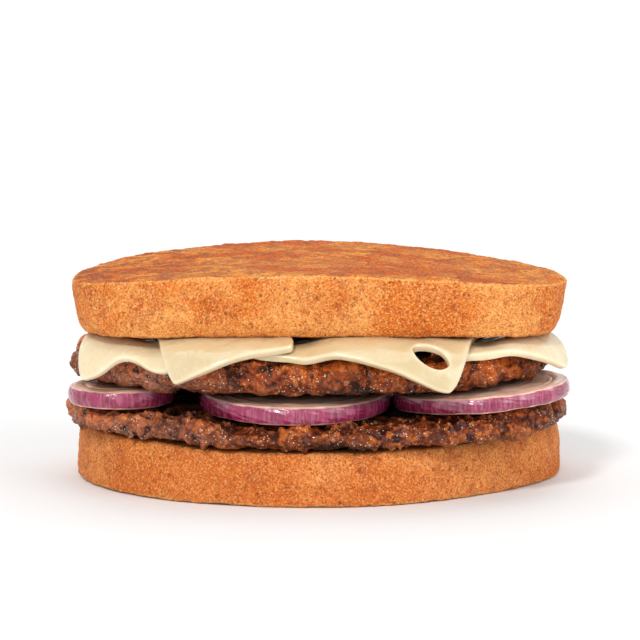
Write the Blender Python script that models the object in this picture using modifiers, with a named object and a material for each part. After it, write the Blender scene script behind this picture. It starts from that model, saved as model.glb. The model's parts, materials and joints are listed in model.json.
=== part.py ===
"""A grilled melt sandwich: two toasted bread slices round cheese, two beef patties and red onion.

Everything is in metres, +Z up, with the long side of the bread along X. The sandwich stands on its
lower slice, and its front, where the cheese corners hang lowest, faces -Y.
"""

import math

import bmesh
import bpy
from mathutils import Vector, noise

# Driving dimensions
SLICE_LENGTH = 0.1346
SLICE_DEPTH = 0.088
SLICE_THICKNESS = 0.0166
PATTY_LENGTH = 0.143
PATTY_DEPTH = 0.096
PATTY_THICKNESS = 0.011
CHEESE_THICKNESS = 0.0024
ONION_THICKNESS = 0.0053
CLEARANCE = 0.0003

# Heights of the stack at the middle of the sandwich
LOWER_SLICE_TOP = 0.0142
LOWER_PATTY_TOP = 0.0213
UPPER_PATTY_BASE = 0.0289
UPPER_PATTY_TOP = UPPER_PATTY_BASE + PATTY_THICKNESS
CHEESE_LAYER = CHEESE_THICKNESS + CLEARANCE
UPPER_SLICE_BASE = UPPER_PATTY_TOP + 2 * CHEESE_LAYER + CLEARANCE
UPPER_SLICE_TOP = UPPER_SLICE_BASE + SLICE_THICKNESS

CURVE_SAMPLES = 720
# Moves the whole sandwich so that its box is centred over the origin
CENTRING = Vector((0.00107, 0.0004, 0.0))


def clear_scene():
    for existing in list(bpy.data.objects):
        bpy.data.objects.remove(existing, do_unlink=True)


def surface(name, colour, roughness):
    """A Principled BSDF material of one colour."""
    material = bpy.data.materials.new(name)
    material.use_nodes = True
    shader = material.node_tree.nodes["Principled BSDF"]
    shader.inputs["Base Color"].default_value = (*colour, 1.0)
    shader.inputs["Roughness"].default_value = roughness
    shader.inputs["Metallic"].default_value = 0.0
    return material


def add_object(name, mesh, material, collection):
    mesh.materials.append(material)
    mesh.shade_smooth()
    mesh.set_sharp_from_angle(angle=math.radians(50))
    made = bpy.data.objects.new(name, mesh)
    collection.objects.link(made)
    return made


def smooth_step(value):
    """0 below 0, 1 above 1, and an even S between them."""
    share = min(max(value, 0.0), 1.0)
    return share * share * (3 - 2 * share)


def soft_rise(distance, slope, softness):
    """A ramp of that slope for positive distances, level for negative ones, with a soft start."""
    return slope * softness * math.log1p(math.exp(distance / softness))


class Outline:
    """A closed oval seen from above, as evenly spaced points with their outward normals.

    Each lobe is (direction in degrees, spread in degrees, reach) and pushes the edge out, or in.
    """

    def __init__(self, centre, half_length, back, front, back_power, front_power, lobes=(), turn=0.0):
        self.centre = Vector(centre)
        self.half_length = half_length
        self.back, self.back_power = back, back_power
        self.front, self.front_power = front, front_power
        self.lobes = lobes
        self.turn = math.radians(turn)
        self.trace()

    def radius(self, angle):
        side, power = (self.back, self.back_power) if math.sin(angle) > 0 else (self.front, self.front_power)
        along = abs(math.cos(angle)) / self.half_length
        across = abs(math.sin(angle)) / side
        radius = (along**power + across**power) ** (-1 / power)
        for direction, spread, reach in self.lobes:
            away = (math.degrees(angle) - direction + 180) % 360 - 180
            radius += reach * math.exp(-((away / spread) ** 2))
        return radius

    def trace(self):
        angles = [2 * math.pi * i / CURVE_SAMPLES for i in range(CURVE_SAMPLES)]
        dense = [
            self.centre + self.radius(a) * Vector((math.cos(a + self.turn), math.sin(a + self.turn)))
            for a in angles
        ]
        steps = [(dense[(i + 1) % CURVE_SAMPLES] - dense[i]).length for i in range(CURVE_SAMPLES)]
        spacing = sum(steps) / CURVE_SAMPLES
        self.points = []
        travelled, i = 0.0, 0
        for k in range(CURVE_SAMPLES):
            while i < CURVE_SAMPLES - 1 and travelled + steps[i] < k * spacing:
                travelled += steps[i]
                i += 1
            share = (k * spacing - travelled) / steps[i]
            self.points.append(dense[i].lerp(dense[(i + 1) % CURVE_SAMPLES], share))
        self.normals = []
        for k in range(CURVE_SAMPLES):
            along = self.points[(k + 1) % CURVE_SAMPLES] - self.points[k - 1]
            self.normals.append(Vector((along.y, -along.x)).normalized())

    def at(self, share, inset=0.0):
        """The point that share of the way round, moved in by inset, and the outward normal there."""
        k = round(share * CURVE_SAMPLES) % CURVE_SAMPLES
        return self.points[k] - self.normals[k] * inset, self.normals[k]

    def beyond(self, point, inset=0.0):
        """How far the point lies outside the outline moved in by inset, the foot and the normal there."""
        best = min(range(CURVE_SAMPLES), key=lambda k: (point - self.points[k]).length_squared)
        normal = self.normals[best]
        foot = self.points[best] - normal * inset
        along = Vector((-normal.y, normal.x))
        foot = foot + along * (point - foot).dot(along)
        return (point - foot).dot(normal), foot, normal


def slab(name, outline, lower, upper, rim, material, collection, columns, rings, relief=None):
    """A thick oval piece made from a UV sphere, whose poles become the middles of its two faces.

    lower and upper give the heights of the faces. rim(turn) gives how far out and how far up a point
    of the edge lies, for turn from -1 at the lower face to 1 at the upper. rings is the number of
    rings on each face and on the edge. relief moves each point by a vector of its own.
    """
    face_rings, rim_rings = rings
    levels = 2 * face_rings + rim_rings
    mesh = bpy.data.meshes.new(name)
    shape = bmesh.new()
    bmesh.ops.create_uvsphere(shape, u_segments=columns, v_segments=levels, radius=1.0)
    reach = rim(0.0)[0]
    for vert in shape.verts:
        latitude = math.asin(max(-1.0, min(1.0, vert.co.z)))
        level = round((latitude / math.pi + 0.5) * levels)
        share = (math.atan2(vert.co.y, vert.co.x) / (2 * math.pi)) % 1.0
        fold, normal = outline.at(share, reach)
        if face_rings <= level <= levels - face_rings:
            out, up = rim(2 * (level - face_rings) / rim_rings - 1)
            plan = fold + normal * out
        else:
            nearest = min(level, levels - level)
            plan = outline.centre.lerp(fold, nearest / face_rings)
            up = -1.0 if level < face_rings else 1.0
        here = fold if face_rings <= level <= levels - face_rings else plan
        low, high = lower(here), upper(here)
        point = Vector((plan.x, plan.y, (low + high) / 2 + up * (high - low) / 2))
        if relief:
            point += relief(point, normal, up)
        vert.co = point
    shape.to_mesh(mesh)
    shape.free()
    return add_object(name, mesh, material, collection)


# Bread. Each slice has a domed side and a flat side, as cut from one loaf, and a toasted outer face
# with a crisp edge. The upper slice has its flat side to the front, the lower one its dome.
SLICE_DOME = 0.054
SLICE_FLAT = SLICE_DEPTH - SLICE_DOME
SLICE_EDGE_REACH = 0.004
OUTER_EDGE_POWER = 9.0
INNER_EDGE_POWER = 3.4
UPPER_SLICE_TAPER = 0.0020
LOWER_SLICE_TAPER = 0.0006
LOWER_SLICE_GROWTH = 0.0014
SHOULDER_LOBE = (38.0, 24.0, -0.0036)
CROWN_DROP = 0.0042
CROWN_FALL_LEFT, CROWN_FALL_RIGHT = 2.5, 1.5
LOWER_SLICE_CURL = 0.0018
SLICE_COLUMNS = 60
SLICE_RINGS = (2, 7)
CRUST_RELIEF = 0.0003
CRUST_RELIEF_SIZE = 0.014


def slice_rim(outer_side, taper):
    """The edge of a slice, crisp at its toasted outer face and round at its inner one."""

    def rim(turn):
        sharp = OUTER_EDGE_POWER if turn * outer_side > 0 else INNER_EDGE_POWER
        angle = turn * math.pi / 2
        out = max(math.cos(angle), 0.0) ** (2 / sharp) * SLICE_EDGE_REACH
        up = math.copysign(abs(math.sin(angle)) ** (2 / sharp), angle)
        inward = taper * (1 - outer_side * up) / 2 if abs(turn) < 1 else 0.0
        return out - inward, up

    return rim


def crust_relief(point, normal, up):
    """The crust's slow waves, in the plane of the slice only."""
    wave = noise.noise(point / CRUST_RELIEF_SIZE)
    return Vector((normal.x, normal.y, 0.0)) * wave * CRUST_RELIEF * (1 - abs(up))


def upper_patty_top(plan):
    return UPPER_PATTY_TOP - PATTY_END_DROP * (plan.x / (PATTY_LENGTH / 2)) ** 2


def lower_slice_top(plan):
    return LOWER_SLICE_TOP + LOWER_SLICE_CURL * (plan.x / (SLICE_LENGTH / 2)) ** 2


def upper_slice_base(plan):
    return upper_patty_top(plan) + 2 * CHEESE_LAYER + CLEARANCE


def upper_slice_top(plan):
    fall = CROWN_FALL_RIGHT if plan.x > 0 else CROWN_FALL_LEFT
    return UPPER_SLICE_TOP - CROWN_DROP * abs(plan.x / (SLICE_LENGTH / 2)) ** fall


def make_slices(crumb, collection):
    back_shoulder = SHOULDER_LOBE
    front_shoulder = (-SHOULDER_LOBE[0], SHOULDER_LOBE[1], SHOULDER_LOBE[2])
    upper_outline = Outline(
        (-0.0003, SLICE_FLAT - SLICE_DEPTH / 2), SLICE_LENGTH / 2, SLICE_DOME, SLICE_FLAT, 2.0, 3.6,
        lobes=[back_shoulder],
    )
    lower_outline = Outline(
        (0.0001, 0.0068), SLICE_LENGTH / 2 + LOWER_SLICE_GROWTH, SLICE_FLAT, SLICE_DOME, 3.6, 2.0,
        lobes=[front_shoulder], turn=3.0,
    )
    slab(
        "bread_lower", lower_outline, lambda plan: 0.0, lower_slice_top,
        slice_rim(-1, LOWER_SLICE_TAPER), crumb, collection, SLICE_COLUMNS, SLICE_RINGS, crust_relief,
    )
    slab(
        "bread_upper", upper_outline, upper_slice_base, upper_slice_top,
        slice_rim(1, UPPER_SLICE_TAPER), crumb, collection, SLICE_COLUMNS, SLICE_RINGS, crust_relief,
    )


# Patties. Hand-pressed beef: an uneven oval with a round, cragged edge. The crags only cut in from
# the smooth form, so that the cheese and the onions clear it.
PATTY_EDGE_REACH = 0.0052
PATTY_EDGE_POWER = 2.1
PATTY_END_DROP = 0.0014
PATTY_COLUMNS = 90
PATTY_RINGS = (3, 8)
CRAG_DEPTH = 0.0019
CRAG_SIZE = 0.0055
FACE_DENT = 0.0004
ONION_TILT = 0.0868
LEFT_STEP = 0.0017
LEFT_STEP_FROM, LEFT_STEP_OVER = -0.033, 0.007
RIGHT_RISE_FROM, RIGHT_RISE_SOFTNESS = 0.012, 0.004
UNDER_RISE_FROM, UNDER_RISE_SOFTNESS = 0.0362, 0.005
BULGE_AT, BULGE_SPREAD, BULGE_HEIGHT = Vector((-0.0360, -0.0375)), 0.0040, 0.0020
LOWER_PATTY_LOBES = [
    (214.0, 16.0, -0.0055),
    (318.0, 14.0, 0.0015),
    (262.0, 12.0, 0.0010),
    (120.0, 14.0, -0.0020),
]
UPPER_PATTY_LOBES = [(216.0, 18.0, -0.0030), (186.0, 9.0, 0.0012), (60.0, 16.0, -0.0015)]


def patty_rim(turn):
    angle = turn * math.pi / 2
    out = max(math.cos(angle), 0.0) ** (2 / PATTY_EDGE_POWER) * PATTY_EDGE_REACH
    return out, math.copysign(abs(math.sin(angle)) ** (2 / PATTY_EDGE_POWER), angle)


def crags(point, normal, up):
    """Coarse mince: hollows between clumps round the edge, and shallow dents in the faces."""
    clump = 0.5 + 0.5 * noise.noise(point / CRAG_SIZE)
    fold = 0.5 + 0.5 * noise.noise(point / (3 * CRAG_SIZE) + Vector((7.0, 3.0, 1.0)))
    depth = CRAG_DEPTH * (0.6 * clump + 0.4 * fold)
    edge = 1 - abs(up) ** 3
    inward = Vector((normal.x, normal.y, 0.0)) * -depth * edge
    return inward + Vector((0.0, 0.0, -math.copysign(FACE_DENT * clump, up) * (1 - edge)))


def lower_patty_base(plan):
    return lower_slice_top(plan) + CLEARANCE


def lower_patty_top(plan):
    """Thicker at the left, rising to the right end, and bulging between the left and middle onions."""
    step = LEFT_STEP * smooth_step((LEFT_STEP_FROM - plan.x) / LEFT_STEP_OVER)
    rise = soft_rise(plan.x - RIGHT_RISE_FROM, ONION_TILT, RIGHT_RISE_SOFTNESS)
    bulge = BULGE_HEIGHT * math.exp(-((plan - BULGE_AT).length / BULGE_SPREAD) ** 2 / 2)
    return LOWER_PATTY_TOP + step + rise + bulge


def upper_patty_base(plan):
    return UPPER_PATTY_BASE + soft_rise(plan.x - UNDER_RISE_FROM, ONION_TILT, UNDER_RISE_SOFTNESS)


def make_patties(beef, collection):
    lower_outline = Outline(
        (-0.0010, -0.0002), PATTY_LENGTH / 2, PATTY_DEPTH / 2, PATTY_DEPTH / 2, 2.3, 2.5, LOWER_PATTY_LOBES
    )
    slab(
        "patty_lower", lower_outline, lower_patty_base, lower_patty_top, patty_rim,
        beef, collection, PATTY_COLUMNS, PATTY_RINGS, crags,
    )
    slab(
        "patty_upper", UPPER_PATTY_OUTLINE, upper_patty_base, upper_patty_top, patty_rim,
        beef, collection, PATTY_COLUMNS, PATTY_RINGS, crags,
    )


UPPER_PATTY_OUTLINE = Outline(
    (-0.0017, 0.0), PATTY_LENGTH / 2 - 0.0034, PATTY_DEPTH / 2 - 0.001, PATTY_DEPTH / 2 - 0.0005, 2.3, 2.4,
    UPPER_PATTY_LOBES,
)


# Onions. Slices of red onion, each a turned disc with a round skin side and a groove between its
# outer layer and the rest on both cut faces.
OUTER_LAYER = 0.0042
GROOVE_WIDTH = 0.0006
GROOVE_DEPTH = 0.0005
SKIN_ROUND = 0.0007
SKIN_BELLY = 0.0004
ONION_STEPS = 22
MOST_ONION_MERGE = 0.0001
# name: centre (x, y, base height), radius, thickness, rise towards +X, rise towards +Y
ONIONS = {
    "onion_front_left": ((-0.0545, -0.0150, 0.0234), 0.0145, ONION_THICKNESS, 0.0, 0.0),
    "onion_front_middle": ((-0.0067, -0.0195, 0.0226), 0.0260, ONION_THICKNESS, 0.0, 0.034),
    "onion_front_right": ((0.0443, -0.0185, 0.0246), 0.0243, 0.0047, ONION_TILT, 0.0),
    "onion_back_left": ((-0.0470, 0.0180, 0.0234), 0.0165, 0.0051, 0.0, 0.0),
    "onion_back_middle": ((-0.0075, 0.0270, 0.0222), 0.0190, 0.0060, 0.0, 0.0),
    "onion_back_right": ((0.0365, 0.0255, 0.0239), 0.0178, 0.0047, ONION_TILT, 0.0),
}


def onion_profile(radius, thickness):
    """Half of the slice's outline, from the middle of the top round the skin to the middle below."""
    inner = radius - OUTER_LAYER
    groove = [
        (inner - GROOVE_WIDTH, 0.0),
        (inner, GROOVE_DEPTH),
        (inner + GROOVE_WIDTH, 0.0),
        (radius - SKIN_ROUND, 0.0),
    ]
    top = [(0.0, thickness)] + [(across, thickness - down) for across, down in groove]
    skin = [
        (radius - SKIN_BELLY / 2, thickness - SKIN_ROUND),
        (radius, thickness / 2),
        (radius - SKIN_BELLY / 2, SKIN_ROUND),
    ]
    bottom = [(across, down) for across, down in reversed(groove)] + [(0.0, 0.0)]
    return top + skin + bottom


def make_onion(name, place, radius, thickness, rise_x, rise_y, skin, collection):
    mesh = bpy.data.meshes.new(name)
    shape = bmesh.new()
    previous = None
    for across, height in onion_profile(radius, thickness):
        vert = shape.verts.new((across, 0.0, height))
        if previous:
            shape.edges.new((previous, vert))
        previous = vert
    shape.to_mesh(mesh)
    shape.free()
    made = add_object(name, mesh, skin, collection)
    turn = made.modifiers.new("turned", "SCREW")
    turn.steps = turn.render_steps = ONION_STEPS
    turn.use_merge_vertices = True
    turn.merge_threshold = MOST_ONION_MERGE
    turn.use_smooth_shade = True
    made.rotation_euler = (math.atan(rise_y), -math.atan(rise_x), 0.0)
    made.location = place
    return made


# Cheese. Four soft slices laid at different angles over the upper patty. Each lies flat inside the
# patty's edge and bends down over it, keeping its own length, and some lie over others.
CELL = 0.0042
BEND_CLEARANCE = 0.0011
FOLD_INSET = PATTY_EDGE_REACH - 0.0008
BEND_RADIUS = FOLD_INSET + BEND_CLEARANCE
MOST_BEND = math.radians(74)
CORNER_ROUND = 0.0030
EDGE_WAVE = 0.0007
EDGE_WAVE_SIZE = 0.011
RAMP_FROM, RAMP = 0.0018, 0.010


class Slice:
    """A flat rectangle of cheese: its corner, its sides, the way it is turned, and its layer.

    The width runs from the corner to the right if side is 1, or to the left if it is -1. A slice lies
    low where it is under another one, and as high as that one elsewhere.
    """

    def __init__(self, corner, width, length, turn, side, under=None, notch=None, hole=None, loose=0.0):
        angle = math.radians(turn)
        self.corner = Vector(corner)
        self.width, self.length = width, length
        self.across = Vector((math.cos(angle), math.sin(angle))) * side
        self.along = Vector((-math.sin(angle), math.cos(angle)))
        self.under, self.notch, self.hole, self.loose = under, notch, hole, loose

    def flat_point(self, across, along):
        return self.corner + self.across * across + self.along * along

    def outside(self, plan):
        """How far a point lies outside the rectangle, 0 within it."""
        away = plan - self.corner
        u, v = away.dot(self.across), away.dot(self.along)
        past_u = max(-u, u - self.width, 0.0)
        past_v = max(-v, v - self.length, 0.0)
        return math.hypot(past_u, past_v)

    def lift(self, plan):
        """Height of the slice's underside over the patty: one layer, or less where it is covered."""
        free = smooth_step((self.under.outside(plan) - RAMP_FROM) / RAMP) if self.under else 1.0
        return CLEARANCE + CHEESE_LAYER * free


CHEESES = {"cheese_middle_left": Slice((-0.0405, -0.0530), 0.0345, 0.092, 8.5, 1, loose=0.0014)}
CHEESES["cheese_left"] = Slice(
    (-0.0683, -0.0350), 0.031, 0.064, -18.0, 1, CHEESES["cheese_middle_left"], notch=(0.016, 0.005, 0.0033)
)
CHEESES["cheese_middle_right"] = Slice(
    (0.0364, -0.0568), 0.058, 0.099, -12.0, -1, CHEESES["cheese_middle_left"],
    hole=(0.0090, 0.0076, 0.0050, 0.0027), loose=0.0007,
)
CHEESES["cheese_right"] = Slice(
    (0.0706, -0.0258), 0.038, 0.050, 34.0, -1, CHEESES["cheese_middle_right"],
    notch=(0.035, 0.010, 0.0056),
)


def drape(plan, lift, loose=0.0):
    """Where a point of a flat slice goes: level on the patty, and bent down beyond its edge."""
    beyond, foot, normal = UPPER_PATTY_OUTLINE.beyond(plan, FOLD_INSET)
    if beyond <= 0:
        return Vector((plan.x, plan.y, upper_patty_top(plan) + lift))
    radius = BEND_RADIUS + lift + loose
    angle = min(beyond / radius, MOST_BEND)
    hanging = beyond - radius * angle
    out = radius * math.sin(angle) + hanging * math.cos(angle)
    down = radius * (1 - math.cos(angle)) + hanging * math.sin(angle)
    place = foot + normal * out
    return Vector((place.x, place.y, upper_patty_top(foot) + lift - down))


def rounded_corner(u, v, slice_):
    """Moves a point of the rectangle, u across and v along it, so that the corners come out round."""
    centre_u, centre_v = slice_.width / 2, slice_.length / 2
    over_u = (abs(u - centre_u) - (centre_u - CORNER_ROUND)) / CORNER_ROUND
    over_v = (abs(v - centre_v) - (centre_v - CORNER_ROUND)) / CORNER_ROUND
    if over_u <= 0 or over_v <= 0:
        return u, v
    pull = (1 - max(over_u, over_v) / math.hypot(over_u, over_v)) * CORNER_ROUND
    return u - math.copysign(pull * over_u, u - centre_u), v - math.copysign(pull * over_v, v - centre_v)


def opened_round_hole(u, v, removed, hole):
    """Moves the points next to the removed one onto the hole's oval rim."""
    away_u, away_v = u - removed[0], v - removed[1]
    if not 1e-6 < math.hypot(away_u, away_v) < 1.6 * CELL:
        return u, v
    middle_u, middle_v, reach_u, reach_v = hole
    angle = math.atan2(away_v, away_u)
    return middle_u + reach_u * math.cos(angle), middle_v + reach_v * math.sin(angle)


def make_cheese(name, slice_, milk, collection):
    mesh = bpy.data.meshes.new(name)
    shape = bmesh.new()
    cells_u, cells_v = round(slice_.width / CELL), round(slice_.length / CELL)
    bmesh.ops.create_grid(shape, x_segments=cells_u, y_segments=cells_v, size=0.5)
    removed = None
    if slice_.hole:
        step_u, step_v = slice_.width / cells_u, slice_.length / cells_v
        removed = (round(slice_.hole[0] / step_u) * step_u, round(slice_.hole[1] / step_v) * step_v)
    in_hole = []
    for vert in shape.verts:
        u = (vert.co.x + 0.5) * slice_.width
        v = (vert.co.y + 0.5) * slice_.length
        if removed:
            if math.hypot(u - removed[0], v - removed[1]) < 1e-5:
                in_hole.append(vert)
            u, v = opened_round_hole(u, v, removed, slice_.hole)
        if slice_.notch:
            at, spread, depth = slice_.notch
            v += depth * math.exp(-(((u - at) / spread) ** 2)) * (1 - v / slice_.length) ** 4
        edge_u = (abs(2 * u / slice_.width - 1)) ** 3
        edge_v = (abs(2 * v / slice_.length - 1)) ** 3
        wave = noise.noise(Vector((u, v, slice_.corner.x)) / EDGE_WAVE_SIZE)
        u, v = rounded_corner(u, v, slice_)
        u += math.copysign(wave * EDGE_WAVE * edge_u, u - slice_.width / 2)
        v += math.copysign(wave * EDGE_WAVE * edge_v, v - slice_.length / 2)
        plan = slice_.flat_point(u, v)
        vert.co = drape(plan, slice_.lift(plan), slice_.loose)
    bmesh.ops.delete(shape, geom=in_hole, context="VERTS")
    bmesh.ops.recalc_face_normals(shape, faces=shape.faces)
    if sum(face.normal.z for face in shape.faces) < 0:
        bmesh.ops.reverse_faces(shape, faces=shape.faces)
    shape.to_mesh(mesh)
    shape.free()
    made = add_object(name, mesh, milk, collection)
    thick = made.modifiers.new("thickness", "SOLIDIFY")
    thick.thickness = CHEESE_THICKNESS
    thick.offset = 1.0
    return made


def main():
    clear_scene()
    sandwich = bpy.data.collections.new("melt_sandwich")
    bpy.context.scene.collection.children.link(sandwich)
    crumb = surface("toasted_bread", (0.66, 0.33, 0.11), 0.75)
    beef = surface("grilled_beef", (0.22, 0.075, 0.030), 0.45)
    red_onion = surface("red_onion", (0.42, 0.09, 0.20), 0.30)
    milk = surface("melted_cheese", (0.86, 0.76, 0.50), 0.35)
    make_slices(crumb, sandwich)
    make_patties(beef, sandwich)
    for name, (place, radius, thickness, rise_x, rise_y) in ONIONS.items():
        make_onion(name, place, radius, thickness, rise_x, rise_y, red_onion, sandwich)
    for name, slice_ in CHEESES.items():
        make_cheese(name, slice_, milk, sandwich)
    for made in sandwich.objects:
        made.location += CENTRING


main()
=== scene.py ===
"""A grilled melt sandwich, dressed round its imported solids: toasted bread, cheese, beef and red onion."""

import json
import math
import random

import bpy
import numpy as np
from mathutils import Euler, Matrix, Vector

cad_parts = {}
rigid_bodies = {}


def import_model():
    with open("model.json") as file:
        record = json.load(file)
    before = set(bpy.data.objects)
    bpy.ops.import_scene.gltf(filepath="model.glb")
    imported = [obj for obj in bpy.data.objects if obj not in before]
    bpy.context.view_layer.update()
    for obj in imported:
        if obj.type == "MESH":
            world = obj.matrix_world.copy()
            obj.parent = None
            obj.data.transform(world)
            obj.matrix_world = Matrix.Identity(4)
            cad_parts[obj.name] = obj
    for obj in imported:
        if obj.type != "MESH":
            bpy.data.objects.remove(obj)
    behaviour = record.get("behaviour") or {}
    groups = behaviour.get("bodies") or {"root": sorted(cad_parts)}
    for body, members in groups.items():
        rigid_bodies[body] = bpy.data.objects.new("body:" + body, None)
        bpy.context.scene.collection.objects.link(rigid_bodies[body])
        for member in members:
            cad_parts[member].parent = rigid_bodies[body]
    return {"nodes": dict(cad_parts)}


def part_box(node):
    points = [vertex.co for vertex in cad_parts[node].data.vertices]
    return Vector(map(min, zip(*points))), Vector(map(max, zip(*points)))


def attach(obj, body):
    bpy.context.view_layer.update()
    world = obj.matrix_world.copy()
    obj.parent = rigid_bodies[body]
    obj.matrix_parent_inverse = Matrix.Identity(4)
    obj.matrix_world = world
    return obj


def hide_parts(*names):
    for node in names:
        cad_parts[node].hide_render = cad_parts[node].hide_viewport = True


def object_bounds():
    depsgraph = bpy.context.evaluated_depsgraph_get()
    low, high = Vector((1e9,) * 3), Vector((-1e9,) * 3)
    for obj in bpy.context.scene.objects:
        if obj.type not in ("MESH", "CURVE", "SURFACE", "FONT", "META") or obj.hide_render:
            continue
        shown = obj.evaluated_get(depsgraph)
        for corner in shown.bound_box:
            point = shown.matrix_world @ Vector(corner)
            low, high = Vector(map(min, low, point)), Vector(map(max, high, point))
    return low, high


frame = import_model()
cad_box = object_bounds()

# Bread. Two thick slices cut from one wide loaf, buttered outside and toasted face down on a griddle.
# The fine crust runs round the edge; the outer faces are browned, and the inner faces are soft crumb
# that sinks onto the filling under the weight of the stack.


def srgb(red, green, blue):
    """A screen colour, 0 to 255, as the linear values that a shader takes."""
    shares = [c / 255 for c in (red, green, blue)]
    linear = [c / 12.92 if c <= 0.04045 else ((c + 0.055) / 1.055) ** 2.4 for c in shares]
    return (*linear, 1.0)


def take_only(piece):
    """Deselects everything else and makes this piece the active one."""
    bpy.ops.object.select_all(action="DESELECT")
    piece.select_set(True)
    bpy.context.view_layer.objects.active = piece


def solid_of(solid, name):
    """A new piece on the solid's own form, with its loose triangles joined."""
    piece = bpy.data.objects.new(name, frame["nodes"][solid].data.copy())
    piece.data.materials.clear()
    bpy.context.scene.collection.objects.link(piece)
    take_only(piece)
    bpy.ops.object.mode_set(mode="EDIT")
    bpy.ops.mesh.select_all(action="SELECT")
    bpy.ops.mesh.remove_doubles(threshold=0.00001)
    bpy.ops.object.mode_set(mode="OBJECT")
    return piece


def crease_corners(piece, angle, amount):
    """Joins the triangles to quads and keeps the corners sharper than that angle, in degrees."""
    take_only(piece)
    bpy.ops.object.mode_set(mode="EDIT")
    bpy.ops.mesh.select_all(action="SELECT")
    face_limit, shape_limit = math.radians(50), math.radians(60)
    bpy.ops.mesh.tris_convert_to_quads(face_threshold=face_limit, shape_threshold=shape_limit)
    bpy.ops.mesh.select_all(action="DESELECT")
    bpy.ops.mesh.select_mode(type="EDGE")
    bpy.ops.mesh.edges_select_sharp(sharpness=math.radians(angle))
    bpy.ops.transform.edge_crease(value=amount)
    bpy.ops.object.mode_set(mode="OBJECT")


def finish_with(piece, kind, **settings):
    """Adds a modifier with its settings and applies it."""
    take_only(piece)
    modifier = piece.modifiers.new(kind.lower(), kind)
    for key, value in settings.items():
        setattr(modifier, key, value)
    bpy.ops.object.modifier_apply(modifier=modifier.name)


def raise_relief(piece, pattern, size, height, middle=0.5, direction="NORMAL", **settings):
    """Moves the surface out and in by a pattern of that grain size and that full height."""
    texture = bpy.data.textures.new(f"{piece.name}_{pattern.lower()}", pattern)
    texture.noise_scale = size
    for key, value in settings.items():
        setattr(texture, key, value)
    finish_with(
        piece, "DISPLACE", texture=texture, texture_coords="LOCAL", strength=height, mid_level=middle,
        direction=direction,
    )
    bpy.data.textures.remove(texture)


def places_and_normals(piece):
    """Where each vertex is and which way it looks, one row each."""
    mesh = piece.data
    place = np.empty(len(mesh.vertices) * 3)
    mesh.vertices.foreach_get("co", place)
    normal = np.empty(len(mesh.vertices) * 3)
    mesh.vertices.foreach_get("normal", normal)
    return place.reshape(-1, 3), normal.reshape(-1, 3)


def keep_inside(piece):
    """Presses the few points that stand proud back into the sandwich's own box."""
    place, _ = places_and_normals(piece)
    margin = 0.00002
    inside = np.clip(place, np.array(cad_box[0]) + margin, np.array(cad_box[1]) - margin)
    piece.data.vertices.foreach_set("co", inside.ravel())
    piece.data.update()


def averaged_along_edges(mesh, values, passes):
    """Values for each vertex, spread to the neighbours that many times."""
    ends = np.empty(len(mesh.edges) * 2, dtype=np.int64)
    mesh.edges.foreach_get("vertices", ends)
    first, second = ends[0::2], ends[1::2]
    count = len(mesh.vertices)
    degree = np.maximum(np.bincount(ends, minlength=count), 1)
    spread = np.array(values, dtype=float).reshape(count, -1)
    for _ in range(passes):
        total = np.empty_like(spread)
        for k in range(spread.shape[1]):
            total[:, k] = np.bincount(first, spread[second, k], count)
            total[:, k] += np.bincount(second, spread[first, k], count)
        spread = total / degree[:, None]
    return spread


def store(piece, name, values):
    """Keeps one number for each vertex, which the material reads under that name."""
    layer = piece.data.attributes.new(name, "FLOAT", "POINT")
    layer.data.foreach_set("value", np.ascontiguousarray(values, dtype=np.float32).ravel())


def store_hollows(piece, passes, deepest):
    """Stores how far each point lies in a hollow, from -1 on a crest to 1 at that depth."""
    place, normal = places_and_normals(piece)
    around = averaged_along_edges(piece.data, place, passes)
    depth = ((around - place) * normal).sum(1) / deepest
    store(piece, "hollow", np.clip(depth, -1, 1))


def ramp(values, low, high):
    """Eases from 0 at low to 1 at high."""
    share = np.clip((np.asarray(values) - low) / (high - low), 0, 1)
    return share * share * (3 - 2 * share)


def new_material(name):
    """An empty material; returns it and its node tree."""
    material = bpy.data.materials.new(name)
    material.use_nodes = True
    material.node_tree.nodes.clear()
    return material, material.node_tree


def feed(tree, socket, value):
    """Links another node's output to a socket, or sets the socket to a plain value."""
    if isinstance(value, bpy.types.NodeSocket):
        tree.links.new(value, socket)
    else:
        socket.default_value = value


def node(tree, kind, settings=None, **sockets):
    """A shader node with its settings; a socket is given by its name, or as i0, i1 by its place."""
    made = tree.nodes.new(kind)
    for key, value in (settings or {}).items():
        setattr(made, key, value)
    for key, value in sockets.items():
        if key[0] == "i" and key[1:].isdigit():
            feed(tree, made.inputs[int(key[1:])], value)
        else:
            feed(tree, made.inputs[key.replace("_", " ")], value)
    return made


def mixed(tree, share, first, second):
    """The first colour, turned into the second by that share."""
    settings = {"data_type": "RGBA", "blend_type": "MIX", "clamp_factor": True}
    return node(tree, "ShaderNodeMix", settings, i0=share, i6=first, i7=second).outputs[2]


def sums(tree, operation, *values):
    """One step of arithmetic on masks, named as Blender's Math node names it."""
    made = node(tree, "ShaderNodeMath", {"operation": operation})
    for number, value in enumerate(values):
        feed(tree, made.inputs[number], value)
    return made.outputs[0]


def eased(tree, value, low, high, start=0.0, end=1.0):
    """A mask eased from start, where the value is low, to end, where it is high."""
    return node(
        tree, "ShaderNodeMapRange", {"interpolation_type": "SMOOTHSTEP"}, Value=value,
        From_Min=low, From_Max=high, To_Min=start, To_Max=end,
    ).outputs[0]


def stored(tree, name):
    """The number that store() kept on the piece under that name."""
    return node(tree, "ShaderNodeAttribute", {"attribute_name": name}).outputs["Fac"]


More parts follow.
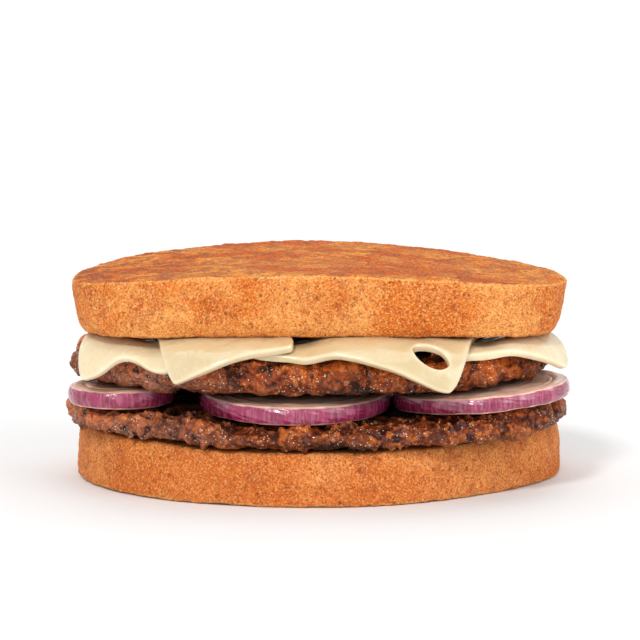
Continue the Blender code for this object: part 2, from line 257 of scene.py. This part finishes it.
def new_group(name, inputs, outputs):
    """A shader node group with those named sockets; returns its tree, its input and its output."""
    tree = bpy.data.node_groups.new(name, "ShaderNodeTree")
    for socket, kind, value in inputs:
        made = tree.interface.new_socket(socket, in_out="INPUT", socket_type=kind)
        if value is not None:
            made.default_value = value
    for socket in outputs:
        tree.interface.new_socket(socket, in_out="OUTPUT", socket_type="NodeSocketFloat")
    return tree, tree.nodes.new("NodeGroupInput"), tree.nodes.new("NodeGroupOutput")


def use(tree, group, output, **sockets):
    """Places a node group with its values and gives one of its outputs."""
    return node(tree, "ShaderNodeGroup", {"node_tree": group}, **sockets).outputs[output]


# Patches: soft clouds of browning, from none to full between Low and High
patches, entry, leave = new_group(
    "patches",
    [
        ("Vector", "NodeSocketVector", None),
        ("Scale", "NodeSocketFloat", 60.0),
        ("Low", "NodeSocketFloat", 0.4),
        ("High", "NodeSocketFloat", 0.6),
    ],
    ["Mask"],
)
cloud = node(
    patches, "ShaderNodeTexNoise", Vector=entry.outputs["Vector"], Scale=entry.outputs["Scale"],
    Detail=5.0, Roughness=0.62, Distortion=0.3,
)
share = eased(patches, cloud.outputs[0], entry.outputs["Low"], entry.outputs["High"])
patches.links.new(share, leave.inputs["Mask"])

# Specks: small separate dots. Share is how many cells hold one, Reach how wide it is in its cell
specks, entry, leave = new_group(
    "specks",
    [
        ("Vector", "NodeSocketVector", None),
        ("Scale", "NodeSocketFloat", 800.0),
        ("Share", "NodeSocketFloat", 0.4),
        ("Reach", "NodeSocketFloat", 0.35),
    ],
    ["Mask"],
)
point, cells = entry.outputs["Vector"], entry.outputs["Scale"]
bent = node(specks, "ShaderNodeTexNoise", Vector=point, Scale=cells, Detail=1.0)
shift = node(specks, "ShaderNodeVectorMath", {"operation": "SCALE"}, i0=bent.outputs[1], Scale=0.0006)
moved = node(specks, "ShaderNodeVectorMath", {"operation": "ADD"}, i0=point, i1=shift.outputs[0])
cell = node(specks, "ShaderNodeTexVoronoi", Vector=moved.outputs[0], Scale=cells)
chance = node(specks, "ShaderNodeSeparateColor", Color=cell.outputs["Color"])
held = sums(specks, "LESS_THAN", chance.outputs[0], entry.outputs["Share"])
reach = sums(specks, "MULTIPLY", entry.outputs["Reach"], sums(specks, "ADD", chance.outputs[1], 0.4))
dot = eased(specks, cell.outputs["Distance"], reach, sums(specks, "MULTIPLY", reach, 0.45))
specks.links.new(sums(specks, "MULTIPLY", held, dot), leave.inputs["Mask"])

bread_voxel = 0.00062
bread_swell = 0.0005
scorched_hole = srgb(112, 46, 16)
soft_crumb = srgb(192, 116, 58)
rim_highlight_gold = srgb(242, 180, 96)
sugar_gold = srgb(252, 200, 126)
crust_grain = srgb(144, 58, 18)
pore_brown = srgb(104, 46, 18)
hollow_shade_brown = srgb(122, 54, 22)
# For each slice: which way its toasted face looks, how strongly its pale grain shows, then the pale,
# middle and dark tones of its crust and of that face
slices = {
    "bread_upper": (
        1,
        0.62,
        (srgb(244, 164, 86), srgb(218, 112, 30), srgb(176, 70, 22)),
        (srgb(238, 154, 70), srgb(208, 94, 26), srgb(128, 48, 14)),
    ),
    "bread_lower": (
        -1,
        0.44,
        (srgb(226, 138, 70), srgb(208, 108, 40), srgb(166, 70, 26)),
        (srgb(224, 144, 68), srgb(196, 94, 32), srgb(128, 52, 18)),
    ),
}

for slice_name, (outside, speckle, side_tones, face_tones) in slices.items():
    bread = solid_of(slice_name, f"{slice_name}_slice")
    crease_corners(bread, angle=35, amount=0.95)
    finish_with(bread, "SUBSURF", levels=2, render_levels=2)
    finish_with(bread, "REMESH", mode="VOXEL", voxel_size=bread_voxel, use_smooth_shade=True)
    # The soft inner face swells a little onto the filling
    place, normal = places_and_normals(bread)
    place[:, 2] -= bread_swell * outside * ramp(-normal[:, 2] * outside, 0.3, 0.8)
    bread.data.vertices.foreach_set("co", place.ravel())
    # Hand-cut unevenness, the grain of the crust, and the small open pores
    raise_relief(bread, "CLOUDS", size=0.016, height=0.0008, middle=0.65, noise_depth=2)
    raise_relief(bread, "CLOUDS", size=0.0034, height=0.00050, noise_depth=3)
    raise_relief(bread, "CLOUDS", size=0.0012, height=0.00042, noise_depth=2)
    raise_relief(bread, "VORONOI", size=0.0016, height=0.00022, middle=0.35, distance_metric="DISTANCE")
    keep_inside(bread)
    store_hollows(bread, passes=6, deepest=0.00016)
    place, normal = places_and_normals(bread)
    facing = averaged_along_edges(bread.data, normal[:, 2] * outside, passes=1)[:, 0]
    store(bread, "toasted_face", ramp(facing, 0.55, 0.90))
    store(bread, "inner_face", ramp(-facing, 0.60, 0.95))
    store(bread, "rim", ramp(facing, 0.25, 0.55) * (1 - ramp(facing, 0.80, 0.97)))
    store(bread, "left_end", ramp(-place[:, 0], 0.000, 0.060))

    toast, tree = new_material(f"{slice_name}_toast")
    where = node(tree, "ShaderNodeTexCoord").outputs["Object"]
    pale, golden, dark = side_tones
    broad = use(tree, patches, "Mask", Vector=where, Scale=34.0, Low=0.40, High=0.62)
    ruddy = use(tree, patches, "Mask", Vector=where, Scale=130.0, Low=0.48, High=0.68)
    small = use(tree, patches, "Mask", Vector=where, Scale=620.0, Low=0.44, High=0.60)
    light_grain = use(tree, patches, "Mask", Vector=where, Scale=1700.0, Low=0.46, High=0.66)
    dark_grain = use(tree, patches, "Mask", Vector=where, Scale=2100.0, Low=0.50, High=0.62)
    pores = use(tree, specks, "Mask", Vector=where, Scale=760.0, Share=0.22, Reach=0.40)
    holes = use(tree, specks, "Mask", Vector=where, Scale=290.0, Share=0.42, Reach=0.30)
    colour = mixed(tree, broad, golden, pale)
    colour = mixed(tree, sums(tree, "MULTIPLY", ruddy, 0.55), colour, dark)
    # Browned outer face, mottled by the melted butter and darkest at one end
    face_pale, face_golden, face_dark = face_tones
    browned = use(tree, patches, "Mask", Vector=where, Scale=60.0, Low=0.40, High=0.62)
    griddle = use(tree, patches, "Mask", Vector=where, Scale=210.0, Low=0.42, High=0.60)
    face = mixed(tree, browned, face_golden, face_pale)
    scorched = sums(tree, "ADD", sums(tree, "MULTIPLY", stored(tree, "left_end"), 0.30), 0.55)
    face = mixed(tree, sums(tree, "MULTIPLY", griddle, scorched), face, face_dark)
    face = mixed(tree, sums(tree, "MULTIPLY", holes, 0.60), face, scorched_hole)
    colour = mixed(tree, stored(tree, "toasted_face"), colour, face)
    colour = mixed(tree, stored(tree, "inner_face"), colour, soft_crumb)
    # Painted highlight: a paler band along the rounded edge between the toasted face and the side
    edge = sums(tree, "MULTIPLY", stored(tree, "rim"), eased(tree, browned, 0.0, 1.0, 0.35, 0.85))
    colour = mixed(tree, edge, colour, rim_highlight_gold)
    colour = mixed(tree, sums(tree, "MULTIPLY", small, 0.30), colour, dark)
    sugary = eased(tree, stored(tree, "toasted_face"), 0.0, 1.0, speckle, 0.36)
    colour = mixed(tree, sums(tree, "MULTIPLY", light_grain, sugary), colour, sugar_gold)
    colour = mixed(tree, sums(tree, "MULTIPLY", dark_grain, 0.70), colour, crust_grain)
    colour = mixed(tree, sums(tree, "MULTIPLY", pores, 0.55), colour, pore_brown)
    # Painted shade: the hollows of the crust are darkened as if in shade
    hollow_shade = eased(tree, stored(tree, "hollow"), 0.15, 0.9)
    colour = mixed(tree, sums(tree, "MULTIPLY", hollow_shade, 0.5), colour, hollow_shade_brown)
    grain = node(tree, "ShaderNodeTexNoise", Vector=where, Scale=1700.0, Detail=4.0, Roughness=0.65)
    bump = node(tree, "ShaderNodeBump", Strength=0.7, Distance=0.00030, Height=grain.outputs[0])
    shader = node(
        tree, "ShaderNodeBsdfPrincipled", Base_Color=colour,
        Roughness=eased(tree, griddle, 0.0, 1.0, 0.80, 0.60), Normal=bump.outputs[0],
    )
    shader.inputs["Specular IOR Level"].default_value = 0.18
    node(tree, "ShaderNodeOutputMaterial", Surface=shader.outputs[0])
    bread.data.materials.append(toast)
    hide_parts(slice_name)
    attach(bread, "root")

# Beef. Two thin patties of coarse mince, pressed by hand and seared hard, so the edges are a crust of
# separate crumbs, glossy with fat and juice, with patches of char, painted shade in the hollows and painted
# glints.
patty_half_length, patty_half_depth = 0.070, 0.047
crumb_count = 1500
smallest_crumb, largest_crumb = 0.0008, 0.0020
room_for_crumbs = 0.0006
mince_voxel = 0.00046
most_triangles = 188000
sear_shade = srgb(98, 34, 12)
rare_pink_with_painted_light = srgb(212, 138, 108)
crest_highlight_brown = srgb(228, 124, 46)
hollow_shade_black = srgb(34, 12, 7)
char_black = srgb(48, 20, 12)
underside_black = srgb(36, 16, 10)
mince_grain = srgb(60, 20, 8)
fat_beige = srgb(214, 140, 96)
painted_glint_cream = srgb(246, 204, 166)
between_slices_shade = srgb(30, 12, 8)
# The pink left end is partly rare meat and partly painted light, paler on the upper patty against the shade
# of the cheese and bread
# For each patty: the seed of its crumbs, how rare its left end looks, and its brown and light tones
patties = {
    "patty_lower": (11, 0.50, (srgb(108, 40, 10), srgb(158, 68, 16))),
    "patty_upper": (23, 0.95, (srgb(144, 56, 12), srgb(204, 94, 20))),
}
bpy.ops.mesh.primitive_ico_sphere_add(subdivisions=2, radius=1.0)
crumb = bpy.context.object
crumb_corners = np.array([vertex.co for vertex in crumb.data.vertices])
crumb_sides = np.array([polygon.vertices for polygon in crumb.data.polygons])
bpy.data.objects.remove(crumb)


def across_patty(place):
    """How far out each point lies, from 0 in the middle of the patty to 1 at its rim."""
    return np.hypot(place[:, 0] / patty_half_length, place[:, 1] / patty_half_depth)


def drop_loose_grains(piece):
    """Deletes the few grains that the remesh leaves apart from the main body."""
    take_only(piece)
    bpy.ops.object.mode_set(mode="EDIT")
    bpy.ops.mesh.select_mode(type="VERT")
    bpy.ops.mesh.select_all(action="DESELECT")
    bpy.ops.object.mode_set(mode="OBJECT")
    place, _ = places_and_normals(piece)
    heart = int(np.argmin(np.hypot(place[:, 0], place[:, 1])))
    piece.data.vertices[heart].select = True
    bpy.ops.object.mode_set(mode="EDIT")
    bpy.ops.mesh.select_linked()
    bpy.ops.mesh.select_all(action="INVERT")
    bpy.ops.mesh.delete(type="VERT")
    bpy.ops.object.mode_set(mode="OBJECT")


for patty_name, (seed, rare_and_painted_light_share, tones) in patties.items():
    draw = random.Random(seed)
    beef = solid_of(patty_name, f"{patty_name}_mince")
    finish_with(beef, "SUBSURF", levels=2, render_levels=2)
    finish_with(beef, "DISPLACE", strength=-room_for_crumbs, mid_level=0.0)
    spots = []
    for polygon in beef.data.polygons:
        out = math.hypot(polygon.center.x / patty_half_length, polygon.center.y / patty_half_depth)
        if out > 0.70 and polygon.normal.z > -0.35:
            spots.append((polygon.center.copy(), polygon.normal.copy(), polygon.area))
    areas = [area for _, _, area in spots]
    corners, sides = [], []
    for spot, away, _ in draw.choices(spots, weights=areas, k=crumb_count):
        size = draw.uniform(smallest_crumb, largest_crumb)
        turn = Euler([draw.uniform(0, math.tau) for _ in range(3)]).to_matrix()
        stretch = Matrix.Diagonal((size * draw.uniform(1.2, 2.4), size, size * draw.uniform(0.4, 0.8)))
        place = spot - away * draw.uniform(0.70, 1.1) * size
        sides.append(crumb_sides + len(corners) * len(crumb_corners))
        corners.append(crumb_corners @ np.array(turn @ stretch).T + np.array(place))
    loose = bpy.data.meshes.new("crumbs")
    loose.from_pydata(np.concatenate(corners).tolist(), [], np.concatenate(sides).tolist())
    heap = bpy.data.objects.new("crumbs", loose)
    bpy.context.scene.collection.objects.link(heap)
    take_only(beef)
    heap.select_set(True)
    bpy.ops.object.join()
    finish_with(beef, "REMESH", mode="VOXEL", voxel_size=mince_voxel, use_smooth_shade=True)
    drop_loose_grains(beef)
    # Lumps as pressed by hand, then the strands of the mince, then its grain
    strands = {"middle": 0.32, "weight_1": -1, "weight_2": 1, "noise_intensity": 2.4}
    raise_relief(beef, "VORONOI", size=0.0090, height=0.0020, **strands)
    raise_relief(beef, "CLOUDS", size=0.0036, height=0.0014, noise_depth=4)
    raise_relief(beef, "VORONOI", size=0.0024, height=0.0004, **strands)
    finish_with(beef, "SMOOTH", factor=0.5, iterations=6)
    raise_relief(beef, "CLOUDS", size=0.0009, height=0.00055, noise_depth=2)
    keep_inside(beef)
    # Fine where it shows, coarse between the slices
    place, normal = places_and_normals(beef)
    hidden = 1 - ramp(across_patty(place), 0.50, 0.62)
    group = beef.vertex_groups.new(name="hidden")
    for level in range(1, 5):
        group.add(np.flatnonzero(np.ceil(hidden * 4) == level).tolist(), level / 4, "REPLACE")
    kept = min(1, most_triangles / (len(beef.data.polygons) * 2))
    finish_with(beef, "DECIMATE", ratio=kept, vertex_group="hidden", vertex_group_factor=5)
    bpy.ops.object.shade_smooth()
    store_hollows(beef, passes=9, deepest=0.0004)
    place, normal = places_and_normals(beef)
    store(beef, "underside", ramp(-averaged_along_edges(beef.data, normal, passes=12)[:, 2], -0.35, 0.55))
    store(beef, "left_end", ramp(-place[:, 0], 0.014, 0.048))
    store(beef, "outer", ramp(across_patty(place), 0.70, 0.85))

    sear, tree = new_material(f"{patty_name}_sear")
    where = node(tree, "ShaderNodeTexCoord").outputs["Object"]
    blotch = use(tree, patches, "Mask", Vector=where, Scale=70.0, Low=0.40, High=0.62)
    crumbly = use(tree, patches, "Mask", Vector=where, Scale=420.0, Low=0.42, High=0.62)
    char = use(tree, patches, "Mask", Vector=where, Scale=60.0, Low=0.46, High=0.62)
    dark_grain = use(tree, patches, "Mask", Vector=where, Scale=1300.0, Low=0.46, High=0.60)
    glint = use(tree, patches, "Mask", Vector=where, Scale=1000.0, Low=0.50, High=0.60)
    fat = use(tree, specks, "Mask", Vector=where, Scale=620.0, Share=0.20, Reach=0.42)
    painted_glints = use(tree, specks, "Mask", Vector=where, Scale=2300.0, Share=0.25, Reach=0.42)
    colour = mixed(tree, blotch, *tones)
    colour = mixed(tree, sums(tree, "MULTIPLY", crumbly, 0.60), colour, sear_shade)
    # Pink left end: rare meat, made lighter as painted light where the cheese and bread shade it
    rare_and_painted_light = sums(tree, "MULTIPLY", stored(tree, "left_end"), eased(tree, crumbly, 0.0, 1.0, rare_and_painted_light_share, 0.3))
    colour = mixed(tree, rare_and_painted_light, colour, rare_pink_with_painted_light)
    # Painted highlight: the crests of the crumbs are lightened as if lit
    crest_highlight = eased(tree, stored(tree, "hollow"), 0.0, -0.8)
    colour = mixed(tree, sums(tree, "MULTIPLY", crest_highlight, 0.60), colour, crest_highlight_brown)
    # Painted shade: the hollows between the crumbs are darkened as if in shade
    hollow_shade = eased(tree, stored(tree, "hollow"), 0.0, 0.55)
    colour = mixed(tree, sums(tree, "MULTIPLY", hollow_shade, 0.9), colour, hollow_shade_black)
    colour = mixed(tree, sums(tree, "MULTIPLY", char, 0.60), colour, char_black)
    # Darker on the downward-facing crumbs, more so in the char patches
    darker_underneath = sums(tree, "MULTIPLY", stored(tree, "underside"), eased(tree, char, 0.0, 1.0, 0.45, 0.95))
    colour = mixed(tree, darker_underneath, colour, underside_black)
    colour = mixed(tree, sums(tree, "MULTIPLY", dark_grain, 0.50), colour, mince_grain)
    colour = mixed(tree, sums(tree, "MULTIPLY", fat, 0.40), colour, fat_beige)
    # Painted glints: tiny pale dots stand in for the sparkle of light on wet fat
    painted_glint_area = use(tree, patches, "Mask", Vector=where, Scale=150.0, Low=0.42, High=0.56)
    colour = mixed(tree, sums(tree, "MULTIPLY", painted_glints, painted_glint_area), colour, painted_glint_cream)
    grain = node(tree, "ShaderNodeTexNoise", Vector=where, Scale=1200.0, Detail=4.0, Roughness=0.62)
    bump = node(tree, "ShaderNodeBump", Strength=0.8, Distance=0.0005, Height=grain.outputs[0])
    # The meat between the slices stays dull and is painted dark as shade, and only the open edge is wet
    inside = eased(tree, stored(tree, "outer"), 0.0, 1.0, 1.0, 0.0)
    wet = eased(tree, stored(tree, "outer"), 0.0, 1.0, 0.0, 0.8)
    colour = mixed(tree, sums(tree, "MULTIPLY", inside, 0.6), colour, between_slices_shade)
    shader = node(
        tree, "ShaderNodeBsdfPrincipled", Base_Color=colour, Normal=bump.outputs[0],
        Roughness=sums(tree, "MAXIMUM", inside, eased(tree, glint, 0.0, 1.0, 0.60, 0.30)),
        Coat_Weight=sums(tree, "MULTIPLY", glint, wet),
    )
    shader.inputs["Coat Roughness"].default_value = 0.10
    shader.inputs["Specular IOR Level"].default_value = 0.2
    node(tree, "ShaderNodeOutputMaterial", Surface=shader.outputs[0])
    beef.data.materials.append(sear)
    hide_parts(patty_name)
    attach(beef, "root")

# Cheese. Four soft slices laid over the hot upper patty, so that they sag over its edge. Their cut
# edges have gone round with the heat, and the surface has a buttery shine.
cream, cream_shade = srgb(239, 225, 190), srgb(235, 217, 176)
milk_white = srgb(246, 236, 210)
deep_yellow = srgb(196, 174, 128)
fold_shade_yellow = srgb(208, 176, 122)
crest_light_cream = srgb(244, 234, 206)
# Painted light: the left and right slices, which lie more in shade, are kept paler than the middle ones
# For each slice: how much deeper its yellow is than the palest slice's
cheeses = {
    "cheese_left": 0.12,
    "cheese_middle_left": 0.62,
    "cheese_middle_right": 0.66,
    "cheese_right": 0.0,
}

melt, tree = new_material("melted_slice")
where = node(tree, "ShaderNodeTexCoord").outputs["Object"]
veil = use(tree, patches, "Mask", Vector=where, Scale=90.0, Low=0.35, High=0.65)
tiny = use(tree, patches, "Mask", Vector=where, Scale=700.0, Low=0.40, High=0.62)
colour = mixed(tree, veil, cream, cream_shade)
colour = mixed(tree, sums(tree, "MULTIPLY", tiny, 0.20), colour, milk_white)
colour = mixed(tree, stored(tree, "yellow_depth_and_painted_light"), colour, deep_yellow)
# Painted shade: the hollows of the folds are a darker yellow
colour = mixed(tree, eased(tree, stored(tree, "hollow"), 0.1, 0.9, 0.0, 0.30), colour, fold_shade_yellow)
# Painted highlight: the crests and rounded edges are paler, where light would shine through the thin cheese
# and catch it
colour = mixed(tree, eased(tree, stored(tree, "hollow"), -0.2, -0.9, 0.0, 0.40), colour, crest_light_cream)
swell = node(tree, "ShaderNodeTexNoise", Vector=where, Scale=230.0, Detail=3.0, Roughness=0.5)
bump = node(tree, "ShaderNodeBump", Strength=0.65, Distance=0.0009, Height=swell.outputs[0])
shader = node(
    tree, "ShaderNodeBsdfPrincipled", Base_Color=colour,
    Roughness=eased(tree, veil, 0.0, 1.0, 0.28, 0.18), Normal=bump.outputs[0],
)
shader.inputs["Subsurface Weight"].default_value = 0.45
shader.inputs["Subsurface Radius"].default_value = (1.0, 0.7, 0.4)
shader.inputs["Subsurface Scale"].default_value = 0.003
shader.inputs["Coat Weight"].default_value = 0.9
shader.inputs["Coat Roughness"].default_value = 0.06
node(tree, "ShaderNodeOutputMaterial", Surface=shader.outputs[0])

for cheese_name, yellow in cheeses.items():
    cheese = solid_of(cheese_name, f"{cheese_name}_slice")
    crease_corners(cheese, angle=50, amount=0.35)
    finish_with(cheese, "SUBSURF", levels=3, render_levels=3)
    raise_relief(cheese, "CLOUDS", size=0.012, height=0.0010, direction="Z", noise_depth=1)
    raise_relief(cheese, "CLOUDS", size=0.010, height=0.0009, direction="Y", noise_depth=1)
    keep_inside(cheese)
    bpy.ops.object.shade_smooth()
    store_hollows(cheese, passes=8, deepest=0.0003)
    store(cheese, "yellow_depth_and_painted_light", np.full(len(cheese.data.vertices), yellow))
    cheese.data.materials.append(melt)
    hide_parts(cheese_name)
    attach(cheese, "root")

# Onion. Slices of raw red onion: a wet purple skin round rings of pale flesh, each ring parted from
# the next by a thin purple line. They lie between the patties.
skin_bulge = 0.0006
rings_to_the_rim = 5.2
# The flesh is near white: partly its own colour, partly painted light, made paler against the shade of the
# patty above
flesh_white, flesh_pink = srgb(252, 220, 194), srgb(240, 192, 164)
ring_purple = srgb(176, 96, 112)
skin_purple, skin_shade = srgb(156, 36, 86), srgb(126, 22, 62)
streak_pink = srgb(216, 132, 158)
shoulder_highlight_pink = srgb(232, 184, 200)
onion_nodes = [
    "onion_front_left", "onion_front_middle", "onion_front_right",
    "onion_back_left", "onion_back_middle", "onion_back_right",
]

for onion_name in onion_nodes:
    onion = solid_of(onion_name, f"{onion_name}_slice")
    finish_with(onion, "SUBSURF", levels=3, render_levels=3)
    # The skin bulges between the two cuts
    place, normal = places_and_normals(onion)
    place += normal * (skin_bulge * (1 - np.abs(normal[:, 2:])) ** 2)
    onion.data.vertices.foreach_set("co", place.ravel())
    raise_relief(onion, "CLOUDS", size=0.010, height=0.0005, noise_depth=1)
    raise_relief(onion, "CLOUDS", size=0.0020, height=0.00010, noise_depth=1)
    keep_inside(onion)
    bpy.ops.object.shade_smooth()
    low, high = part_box(onion_name)
    centre = (low + high) / 2
    reach = (high.y - low.y) / 2
    place, normal = places_and_normals(onion)
    out = np.hypot(place[:, 0] - centre.x, place[:, 1] - centre.y) / reach
    store(onion, "ring", out)
    upward = averaged_along_edges(onion.data, normal, passes=2)[:, 2]
    store(onion, "skin", 1 - ramp(np.abs(upward), 0.55, 0.80))
    store(onion, "shoulder", ramp(upward, 0.05, 0.60))

    flesh, tree = new_material(f"{onion_name}_flesh")
    where = node(tree, "ShaderNodeTexCoord").outputs["Object"]
    ring = stored(tree, "ring")
    phase = sums(tree, "FRACT", sums(tree, "MULTIPLY", ring, rings_to_the_rim))
    line = eased(tree, sums(tree, "ABSOLUTE", sums(tree, "SUBTRACT", phase, 0.5)), 0.38, 0.48)
    wash = use(tree, patches, "Mask", Vector=where, Scale=180.0, Low=0.35, High=0.65)
    colour = mixed(tree, wash, flesh_white, flesh_pink)
    colour = mixed(tree, sums(tree, "MULTIPLY", line, 0.60), colour, ring_purple)
    stretch = node(tree, "ShaderNodeMapping", {"vector_type": "POINT"}, Vector=where, Scale=(1.0, 1.0, 0.10))
    streak = use(tree, patches, "Mask", Vector=stretch.outputs[0], Scale=1100.0, Low=0.44, High=0.66)
    cloudy = use(tree, patches, "Mask", Vector=where, Scale=90.0, Low=0.46, High=0.66)
    skin_colour = mixed(tree, wash, skin_purple, skin_shade)
    skin_colour = mixed(tree, sums(tree, "MULTIPLY", streak, 0.38), skin_colour, streak_pink)
    # Painted highlight: the upward-facing shoulder of the skin is paler in cloudy patches
    shoulder_highlight_share = sums(tree, "MULTIPLY", stored(tree, "shoulder"), eased(tree, cloudy, 0.0, 1.0, 0.10, 0.70))
    skin_colour = mixed(tree, shoulder_highlight_share, skin_colour, shoulder_highlight_pink)
    colour = mixed(tree, stored(tree, "skin"), colour, skin_colour)
    ridge = node(tree, "ShaderNodeTexNoise", Vector=stretch.outputs[0], Scale=1300.0, Detail=2.0)
    bump = node(tree, "ShaderNodeBump", Strength=0.30, Distance=0.0003, Height=ridge.outputs[0])
    shader = node(tree, "ShaderNodeBsdfPrincipled", Base_Color=colour, Roughness=0.24, Normal=bump.outputs[0])
    shader.inputs["Subsurface Weight"].default_value = 0.25
    shader.inputs["Subsurface Radius"].default_value = (1.0, 0.6, 0.5)
    shader.inputs["Subsurface Scale"].default_value = 0.003
    shader.inputs["Coat Weight"].default_value = 0.6
    shader.inputs["Coat Roughness"].default_value = 0.08
    node(tree, "ShaderNodeOutputMaterial", Surface=shader.outputs[0])
    onion.data.materials.append(flesh)
    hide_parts(onion_name)
    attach(onion, "root")

# Floor, light and camera: a plain white floor under soft studio light, seen almost level from the front
floor_width = 40
bpy.ops.mesh.primitive_plane_add(size=floor_width, location=(0, 0, 0))
floor = bpy.context.object
floor.name = "floor"
paper, tree = new_material("white_paper")
shader = node(tree, "ShaderNodeBsdfPrincipled", Base_Color=(0.86, 0.86, 0.86, 1.0), Roughness=0.9)
node(tree, "ShaderNodeOutputMaterial", Surface=shader.outputs[0])
floor.data.materials.append(paper)

world = bpy.data.worlds.new("studio")
bpy.context.scene.world = world
world.use_nodes = True
sky = world.node_tree.nodes["Background"]
sky.inputs["Color"].default_value = (1.0, 1.0, 1.0, 1.0)
sky.inputs["Strength"].default_value = 0.62


def soft_light(name, place, spread, strength):
    """A distant soft lamp, so the floor is lit evenly; spread is how wide it looks, in degrees."""
    lamp = bpy.data.lights.new(name, "SUN")
    lamp.angle = math.radians(spread)
    lamp.energy = strength
    holder = bpy.data.objects.new(name, lamp)
    bpy.context.scene.collection.objects.link(holder)
    holder.location = place
    holder.rotation_euler = Vector(place).to_track_quat("Z", "Y").to_euler()


soft_light("key", (-0.32, -0.85, 0.82), spread=9, strength=1.25)
soft_light("front", (-0.22, -1.00, 0.30), spread=8, strength=0.30)
soft_light("fill", (0.85, -0.60, 0.45), spread=40, strength=0.8)
soft_light("top", (0.05, 0.15, 1.0), spread=60, strength=0.75)

view = bpy.data.cameras.new("photo_view")
view.lens = 162.0
view.sensor_width = 36.0
eye = bpy.data.objects.new("photo_view", view)
bpy.context.scene.collection.objects.link(eye)
eye.location = (0.00107, -0.7996, 0.152)
eye.rotation_euler = (math.radians(82.33), 0.0, 0.0)
bpy.context.scene.camera = eye
bpy.context.scene.view_settings.view_transform = "Standard"
